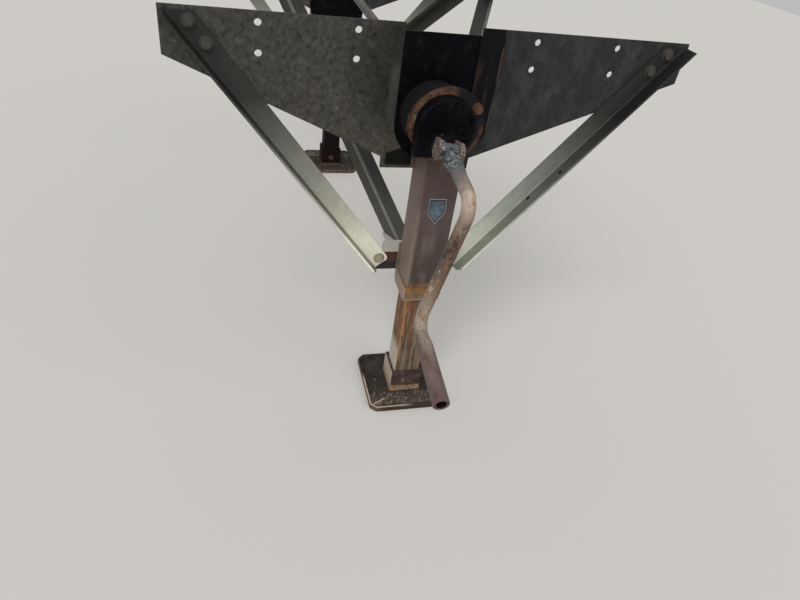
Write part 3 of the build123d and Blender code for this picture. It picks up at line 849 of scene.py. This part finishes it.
def screws_at(spots, face):
    """Screws with washers at the spots, each X and Z, on the face."""
    return [grid for x, z in spots
            for grid in hex_bolt((x, face, z), out, screw_flats, screw_head, screw_washer)]


def circle_spots(angles):
    """Spots on the screws' circle at the angles in degrees."""
    turn = np.radians(angles)
    return list(cover_middle + screw_circle * np.stack([np.cos(turn), np.sin(turn)], -1))


cover_screws = screws_at(circle_spots(near_angles) + [(-0.088, -0.208)], cover_face)
far_screws = screws_at(circle_spots(far_angles), far_cover_face)
piece_from("cover_screws_left", cover_screws, black_enamel, "frame")
piece_from("cover_screws_right", far_screws, black_enamel, "frame", True)
lug_bolt = hex_bolt((lug_middle[0], -0.137, lug_middle[1]), out, 0.019, 0.008)
on_both_legs("lug_bolt", lug_bolt, rusty_casting)
print("screws", len(cover_screws) // 2, "and", len(far_screws) // 2)

# %% [markdown]
# ## Dark plugs in the drain holes
# The braces' ledges have small drain holes, each filled with a near-black plug that stands for the
# shade inside the hole. Each plug is turned round the hole's own line and stays below both faces,
# so the hole's rim still shows.

# %% Drain plugs
uphill = np.array([-np.sin(brace_slope), 0.0, np.cos(brace_slope)])
heel_start = lower_bolt - [0.0, 0.006, 0.0] - uphill * 0.034
plug_radii = [0, 0.0056, 0.0059, 0.0059, 0.0054, 0]
plug_heights = [0, 0.0002, 0.0006, 0.0026, 0.0030, 0.0024]
# Painted shade: near-black plugs stand for the shade seen through each hole.
hole_shade_plugs = []
for mirror in ([1.0, 1.0, 1.0], [-1.0, 1.0, 1.0]):
    for distance, outward in ((0.295, 0.017), (0.415, 0.031)):
        base = heel_start + along * distance + [0.0, -outward, 0.0] + uphill * 0.0015
        hole_shade_plugs.append(turned(base * mirror, uphill * mirror, plug_radii, plug_heights))
on_both_legs("drain_hole_shade", hole_shade_plugs, black_enamel)

# %% [markdown]
# ## Weld beads
# A bead is a round section carried along the joint. Its radius swells and narrows with each stitch
# of the welder, so the radius is a mean, plus a ripple along the path, plus slow random sway.

# %% Bead surface
path_spacing, stitch_length = 0.0015, 0.006


def path_through(corners):
    """Points at even spacing along straight runs through the corners."""
    corners = np.asarray(corners, float)
    steps = np.linalg.norm(np.diff(corners, axis=0), axis=1)
    distance = np.concatenate([[0.0], np.cumsum(steps)])
    places = np.linspace(0.0, distance[-1], max(8, int(distance[-1] / path_spacing)))
    return np.stack([np.interp(places, distance, corners[:, k]) for k in range(3)], -1)


def bead(corners, radius, seed):
    """A tube round the path, shut at open ends.

    Its section's radius is radius x (1 + 0.16 sin(2 pi x distance / stitch) + 0.22 sway).
    """
    line = path_through(corners)
    run = np.gradient(line, axis=0)
    run /= np.linalg.norm(run, axis=1, keepdims=True)
    reference = np.where(np.abs(run[:, 1:2]) < 0.9, [[0.0, 1.0, 0.0]], [[1.0, 0.0, 0.0]])
    aside = np.cross(run, reference)
    aside /= np.linalg.norm(aside, axis=1, keepdims=True)
    beside = np.cross(run, aside)
    travel = np.arange(len(line)) * path_spacing
    stitches = np.sin(2 * np.pi * travel / stitch_length)
    swell = radius * (1 + 0.16 * stitches + 0.22 * sway(line, 0.03, seed))
    if np.linalg.norm(line[0] - line[-1]) > 1e-6:
        swell[0] = swell[-1] = 0.0
    else:
        swell[-1] = swell[0]
    turn = np.linspace(0, 2 * np.pi, 11)
    ring = np.cos(turn)[None, :, None] * aside[:, None, :] + np.sin(turn)[
        None, :, None] * beside[:, None, :]
    return line[:, None, :] + swell[:, None, None] * ring


def ring_corners(half, corner, z, middle):
    """A rounded square's outline at height z: four arcs joined by straight sides."""
    angle = np.linspace(0, 2 * np.pi, 65)
    quarter = np.sign(np.cos(angle + 1e-9)), np.sign(np.sin(angle + 1e-9))
    x = quarter[0] * (half - corner) + corner * np.cos(angle)
    y = quarter[1] * (half - corner) + corner * np.sin(angle)
    x[-1], y[-1] = x[0], y[0]
    return np.stack([x, middle + y, np.full_like(x, z)], -1)


def straight_bead(x, top, bottom, seed):
    """An upright bead beside the tube."""
    return bead([(x, -0.0075, bottom), (x, -0.0075, top)], 0.004, seed)


def cross_bead(reach, y, z, seed):
    """A level bead along X, from -reach to reach."""
    return bead([(-reach, y, z), (reach, y, z)], 0.003, seed)


tube_edge = tube_half + 0.001
upright_beads = [
    straight_bead(-tube_edge, -0.575, -0.670, 5), straight_bead(tube_edge, -0.575, -0.670, 6),
    cross_bead(0.05, -0.0065, -0.6722, 7), cross_bead(0.10, 0.003, -0.611, 8),
    straight_bead(-tube_edge, -0.24, -0.325, 9), straight_bead(tube_edge, -0.24, -0.325, 10)]
collar_bead = bead(ring_corners(tube_half + 0.0015, 0.013, -0.6745, tube_mid), 0.0035, 3)
socket_bead = bead(ring_corners(0.0535, 0.003, -1.1235, tube_mid), 0.0045, 11)
on_both_legs("collar_weld", [collar_bead], rusty_casting)
on_both_legs("bracket_welds", upright_beads, oxide_primer)
on_both_legs("socket_weld", [socket_bead], shoe_rust, "{}_leg")

# %% [markdown]
# ## The lip under the collar
# The collar ends in a thin turned lip that keeps grit out of the tube. It is the collar's rounded
# square, drawn in a little as it goes down, with an inner wall that leaves room for the sliding
# tube.

# %% Collar lip
def lip_grid():
    """Rows of the rounded square: outer wall down, bottom edge, inner wall up, shut at the top."""
    profile = (
        (0.0600, -0.6965), (0.0604, -0.7000), (0.0588, -0.7140), (0.0594, -0.7160),
        (0.0582, -0.7178), (0.0560, -0.7170), (0.0550, -0.7140), (0.0550, -0.6965),
        (0.0600, -0.6965))
    return np.array([ring_corners(half, 0.010, z, tube_mid) for half, z in profile])


on_both_legs("collar_lip", [lip_grid()], rusty_casting, far_coat=far_shaded_maroon)

# %% [markdown]
# ## The pale ridge of the inner braces
# The braces are angles, and their outer corner has been rubbed to clean zinc, which is also written
# paler as a painted highlight. A slim rounded strip along the corner gives that bright line from
# every side, where a painted stripe would stop at the edge.

# %% Brace ridges
# Rubbed zinc and a painted highlight: the ridge's zinc is written paler than the brace.
ridge_rubbed_and_lit = zinc_finish("ridge_rubbed_and_lit", ((-0.6, 118, 118, 113), (0.1, 92, 92, 90)), 0.3).done()


def ridge(side):
    """A round strip of 3.4 mm radius whose line lies 2.4 mm inside the corner."""
    line = np.linspace(foot + run_dir * 0.010, top_end - run_dir * 0.012, 60) - heel_way * 0.0024
    across = np.cross(run_dir, heel_way)
    turn = np.linspace(0, 2 * np.pi, 13)
    radius = np.full(60, 0.0034)
    radius[0] = radius[-1] = 0.0
    ring = ring_of(turn, heel_way, across)
    return (line[:, None, :] + radius[:, None, None] * ring) * [side, 1.0, 1.0]


on_both_legs("brace_ridges", [ridge(-1), ridge(1)], ridge_rubbed_and_lit)
print("ridge length", round(float(np.linalg.norm(top_end - foot)), 3), "m")

# %% [markdown]
# ## A blank plate on the tube
# Such tubes carry a small shield of thin metal. This one is blank: a raised rim round a flat field.
# Its outline is a polygon, and rows of the grid are that outline drawn in towards its middle.

# %% Shield plate
def shield_grid():
    """Rows: the back, the outline at the tube, the rim's two edges, the field's edge and middle."""
    corners = np.array([(-0.0265, -0.3640), (0.0235, -0.3640), (0.0262, -0.4070), (0.0005, -0.4470),
                        (-0.0265, -0.4110), (-0.0265, -0.3640)])
    steps = np.concatenate([[0.0], np.cumsum(np.linalg.norm(np.diff(corners, axis=0), axis=1))])
    places = np.sort(np.concatenate([steps, np.linspace(0, steps[-1], 80)[1:-1]]))
    edge = np.stack([np.interp(places, steps, corners[:, k]) for k in range(2)], -1)
    middle = np.array([-0.001, -0.398])
    profile = (
        (0.0, 0.0002), (1.0, 0.0002), (1.0, 0.0014), (0.98, 0.0019), (0.92, 0.0019), (0.89, 0.0009),
        (0.0, 0.0011))
    rows = []
    for scale, lift in profile:
        flat = middle + (edge - middle) * scale
        rows.append(np.stack([flat[:, 0], np.full(len(flat), tube_face - lift), flat[:, 1]], -1))
    return np.array(rows)


def badge_finish():
    """Dull blue-grey metal, paler on the rim, scratched and dusty, with painted shade in the crease
    at the field's edge.
    """
    f = Finish("plate_metal", 0.45, 0.4)
    cloud = f.grain(0.014, 6.0)
    f.colour = f.mix((72, 84, 98), (112, 124, 136), (cloud, 0.4, 0.65))
    f.lay((70, 70, 70), (f.grain(0.004, 5.0), 0.6, 0.72, 0.6))
    proud = f.step(f.axis("Y"), tube_face - 0.0014, tube_face - 0.0018)
    # Painted shade: a dark band in the crease where the field meets the rim.
    crease_shade = f.step(f.axis("Y"), tube_face - 0.00094, tube_face - 0.00091)
    f.lay((42, 46, 54), crease_shade)
    f.lay((140, 142, 142), proud)
    f.roughness(cloud, 0.3, 0.6)
    f.relief(cloud, 0.0005)
    return f.done()


shield = piece_from("blank_shield", [shield_grid()], badge_finish(), "frame")
print(shield.name, len(shield.data.polygons), "faces")

# %% [markdown]
# ## Dirt and stones in the shoe
# A parked shoe collects what the wheels throw. The bed is a height field: a base level, plus a
# slope that is deeper towards the outer edge, plus two scales of sway. Small stones are squashed
# balls with bumpy skins.

# %% Dirt bed
def dirt_finish():
    """Damp brown earth with pale grains."""
    f = Finish("pan_dirt", 0.95)
    blotch = f.grain(0.03, 6.0)
    grains = f.grain(0.0035, 4.0, shift=6.0)
    earth = f.mix((66, 57, 47), (90, 80, 66), (blotch, 0.4, 0.65))
    earth = f.mix(earth, (122, 110, 94), (grains, 0.62, 0.74))
    smooth = f.mix((44, 37, 31), (66, 57, 48), (blotch, 0.42, 0.68))
    outboard = f.axis("Y", f.folded())
    f.colour = f.mix(smooth, earth, (outboard, -0.115, -0.135))
    f.relief(grains, 0.002)
    return f.done()


def stone_finish():
    """Stones in greys and tans: each cell of a Voronoi pattern is one tone."""
    f = Finish("pebble", 0.8)
    cells = f.node("TexVoronoi", {"Vector": f.place, "Scale": 160.0})
    tone = f.axis("X", cells.outputs["Color"])
    f.colour = f.mix((58, 50, 42), (156, 146, 130), (tone, 0.3, 0.9))
    f.relief(f.grain(0.002, 3.0), 0.0005)
    return f.done()


def bed_height(x, y):
    """Height above the pan's floor: base, a rise to the outer edge, and two sizes of sway.

    It is low under the socket.
    """
    spot = np.stack([x, y, np.zeros_like(x)], -1)
    rise = 0.0035 + 0.005 * np.clip((-y + tube_mid - 0.02) / 0.1, 0.0, 1.0)
    lump = 0.0016 * sway(spot, 0.05, 21) + 0.0009 * sway(spot, 0.014, 22)
    height = np.clip(rise + lump, 0.0012, 0.0118)
    inside = (np.abs(x) < 0.052) & (np.abs(y - tube_mid) < 0.052)
    return np.where(inside, 0.001, height)


def bed_grid():
    """A rectangle of the pan's inside with its corners pulled in, closed by a flat underside."""
    u, v = np.meshgrid(np.linspace(-1, 1, 121), np.linspace(-1, 1, 121))
    half_x, half_y = pan_half[0] - 0.0052, pan_half[1] - 0.0052
    reach = np.abs(u) * half_x + np.abs(v) * half_y
    limit = half_x + half_y - 0.022
    shrink = np.minimum(1.0, limit / np.maximum(reach, 1e-6))
    x, y = u * half_x * shrink, tube_mid + v * half_y * shrink
    top = np.stack([x, y, pan_top + bed_height(x, y)], -1)
    floor = top.copy()
    floor[..., 2] = pan_top + 0.0003
    return slab(top, floor)


def pebbles(count, seed):
    """Squashed balls: radius along each axis is a random share of the stone's size, then swayed."""
    dice = np.random.default_rng(seed)
    x = dice.uniform(-0.118, 0.118, count)
    y = tube_mid + dice.uniform(-0.118, 0.118, count)
    off_x, off_y = np.abs(x), np.abs(y - tube_mid)
    keep = ((off_x > 0.062) | (off_y > 0.062)) & (off_x + off_y < 0.215)
    keep &= (y < tube_mid - 0.055) | (dice.uniform(size=count) < 0.03)
    x, y = x[keep], y[keep]
    size = 0.0012 + 0.0030 * dice.uniform(size=len(x)) ** 2
    squash = dice.uniform(0.6, 1.0, (len(x), 3))
    theta, phi = np.meshgrid(np.linspace(0, np.pi, 6), np.linspace(0, 2 * np.pi, 9), indexing="ij")
    ball = np.stack([np.sin(theta) * np.cos(phi), np.sin(theta) * np.sin(phi), np.cos(theta)], -1)
    centre = np.stack([x, y, pan_top + bed_height(x, y) + size * 0.25], -1)
    skin = ball[None] * (size[:, None] * squash)[:, None, None, :]
    skin = skin * (1 + 0.12 * sway(skin + centre[:, None, None, :], 0.006, 31))[..., None]
    skin[:, :, -1] = skin[:, :, 0]
    return list(skin + centre[:, None, None, :])


pan_dirt, pebble = dirt_finish(), stone_finish()
on_both_legs("shoe_dirt", bed_grid(), pan_dirt, "{}_leg")
for label, far, seed in (("left", False, 41), ("right", True, 42)):
    stones = piece_from(
        f"shoe_stones_{label}", pebbles(1500, seed), pebble, f"{label}_leg", far)
    print(stones.name, len(stones.data.polygons), "faces")

# %% [markdown]
# ## A bent corner in the near shoe
# The near shoe's rim is torn at its outer front corner, and a sliver of it lies folded over the
# floor. It is a thin slab: one grid for each side, with a narrow edge between.

# %% Folded corner
sliver_root = np.array([-0.1225, -0.1745, -1.1115])
sliver_tip = np.array([-0.0790, -0.1520, -1.1100])


def sliver_grid():
    """Rows run across the sliver, columns along it. One edge is straight, the other closes in."""
    along, across = np.meshgrid(np.linspace(0, 1, 14), np.linspace(0, 1, 5))
    line = sliver_root + along[..., None] * (sliver_tip - sliver_root)
    outward = np.array([0.46, -0.88, -0.06])
    width = 0.0015 + 0.0200 * np.clip(np.minimum(along * 5.0, (1.0 - along) * 1.4), 0.0, 1.0)
    top = line + (across * width)[..., None] * outward + [0.0, 0.0, 0.001] * sway(
        line, 0.02, 61)[..., None]
    under = top - [0.0, 0.0, 0.0012]
    return slab(top, under)


def bright_edge_finish():
    """Rubbed pale steel with brown grime in its hollows."""
    f = Finish("rubbed_steel", 0.7)
    small = f.grain(0.008, 6.0)
    f.colour = f.mix((112, 88, 76), (70, 54, 44), (small, 0.44, 0.62))
    bright = f.step(f.near_line(sliver_root, sliver_tip - sliver_root), 0.005, 0.003)
    f.lay((184, 162, 148), bright, (small, 0.3, 0.42))
    f.relief(small, 0.0008)
    return f.done()


sliver = piece_from("folded_corner", sliver_grid(), bright_edge_finish(), "left_leg")
print(sliver.name, len(sliver.data.polygons), "faces")

# %% [markdown]
# ## The crank's forged head
# Where the pipe meets the yoke, a forged head covers it. Hammer marks and wear make it uneven, so
# its radius is a bell curve along the shaft plus sway. The yoke's ears get low bosses round their
# pin.

# %% Crank head
def head_grid():
    """A lump 44 mm across, 40 mm past the pin, that thins to the pipe at 90 mm.

    Its radius is 17.8 mm plus 4 mm times a bell curve, plus two sizes of sway, and at least
    17.1 mm. Its middle lies up to 3 mm to one side.
    """
    reach = np.linspace(0.008, 0.096, 72)
    turn = np.linspace(0, 2 * np.pi, 49)
    swell = np.exp(-(((reach - 0.040) / 0.019) ** 2))
    between = np.clip((reach - 0.020) / 0.008, 0.0, 1.0)
    radius = 0.0178 + 0.0040 * swell * between
    aside = -0.0026 * swell * between
    ring = ring_of(turn, pin_way, arm_way)[None]
    line = pin + reach[:, None] * shaft_way + aside[:, None] * pin_way
    skin = line[:, None, :] + radius[:, None, None] * ring
    bump = 0.0009 * sway(skin, 0.02, 51) + 0.0006 * sway(skin, 0.009, 52)
    most = np.where(between > 0.0, np.inf, 0.0182)[:, None]
    spread = np.clip(radius[:, None] + bump, 0.0171, most)
    spread[0], spread[-1] = 0.0, 0.0
    spread[1], spread[-2] = 0.0172, 0.0169
    spread[:, -1] = spread[:, 0]
    return line[:, None, :] + spread[..., None] * ring


head = piece_from("crank_head", [head_grid()], head_zinc, "crank")
boss_radii, boss_heights = [0, 0.0245, 0.0250, 0.0235, 0.014, 0], [
    0, 0, 0.0125, 0.0142, 0.0146, 0.0146]
ear_seat = 0.0198
ear_bosses = [turned(pin + pin_way * side * ear_seat, pin_way * side, boss_radii, boss_heights)
              for side in (-1, 1)]
bosses = piece_from("yoke_bosses", ear_bosses, yoke_iron, "crank_drive")
print(head.name, len(head.data.polygons), bosses.name, len(bosses.data.polygons), "faces")

# %% [markdown]
# ## The swell before the grip
# The pipe does not step up to the sleeve: filler and rust round the step off. A turned profile
# along the grip's line does the same, from the pipe's radius to the sleeve's.

# %% Grip swell
swell_start = pin + shaft_way * 0.258 + arm_way * 0.385
swell_radii = [0, 0.0164, 0.0170, 0.0180, 0.0196, 0.0207, 0.0212, 0.0208, 0]
swell_heights = [0, 0, 0.004, 0.013, 0.023, 0.030, 0.036, 0.039, 0.039]
swell_grid = turned(swell_start, shaft_way, swell_radii, swell_heights)
grip_swell = piece_from("grip_swell", [swell_grid], crank_pipe, "crank")
print(grip_swell.name, len(grip_swell.data.polygons), "faces")

# %% [markdown]
# ## Floor
# The stage is a plain pale floor at the height of the ground. It is no part of the model.

# %% Floor
floor_mesh = bpy.data.meshes.new("floor")
floor_reach = 9.0
floor_corners = [
    (x * floor_reach, y * floor_reach, ground) for x, y in ((-1, -1), (1, -1), (1, 1), (-1, 1))]
floor_mesh.from_pydata(floor_corners, [], [(0, 1, 2, 3)])
floor = bpy.data.objects.new("floor", floor_mesh)
bpy.context.scene.collection.objects.link(floor)
pale_floor = Finish("pale_floor", 0.9)
pale_floor.shader.inputs["Base Color"].default_value = tint(214, 211, 206)
floor_mesh.materials.append(pale_floor.coat)
print("floor at", ground)

# %% [markdown]
# ## Light
# A grey sky gives every colour about its written value, and two broad suns shape the forms.

# %% Light
world = bpy.data.worlds.new("studio")
bpy.context.scene.world = world
world.use_nodes = True
sky = world.node_tree.nodes["Background"]
sky.inputs["Color"].default_value = (1.0, 1.0, 1.0, 1.0)
sky.inputs["Strength"].default_value = 0.5


def sun(name, toward, strength, spread):
    """A sun that shines along toward, with a soft edge of spread degrees."""
    lamp = bpy.data.lights.new(name, "SUN")
    lamp.energy = strength
    lamp.angle = np.radians(spread)
    item = bpy.data.objects.new(name, lamp)
    way = -np.asarray(toward, float) / np.linalg.norm(toward)
    side = np.cross([0.0, 0.0, 1.0], way)
    side /= np.linalg.norm(side)
    item.matrix_world = Matrix(np.column_stack([side, np.cross(way, side), way]).tolist()).to_4x4()
    bpy.context.scene.collection.objects.link(item)


sun("key_sun", (0.55, 0.85, -0.95), 1.5, 35)
sun("fill_sun", (-0.7, 0.6, -0.6), 0.45, 60)
print("lights", 2)

# %% [markdown]
# ## Camera
# The camera stands outboard and forward of the near leg, above it, and looks down. Its place,
# directions and focal length were fitted to the photograph.

# %% Camera
eye = np.array([-0.55318, -1.56031, 0.41190])
right = np.array([0.965562, -0.228359, 0.124666])
down = np.array([-0.040993, -0.606714, -0.793863])
ahead = np.array([0.256922, 0.761413, -0.595181])
lens = bpy.data.cameras.new("camera")
lens.sensor_width = 36.0
focal_pixels, picture_width = 612.58, 800.0
lens.lens = focal_pixels / picture_width * lens.sensor_width
lens.clip_start = 0.02
camera = bpy.data.objects.new("camera", lens)
turned_to = Matrix(np.column_stack([right, -down, -ahead]).tolist())
camera.matrix_world = Matrix.Translation(eye.tolist()) @ turned_to.to_4x4()
bpy.context.scene.collection.objects.link(camera)
bpy.context.scene.camera = camera
bpy.context.scene.view_settings.view_transform = "Standard"
print("lens", round(lens.lens, 2), "mm")
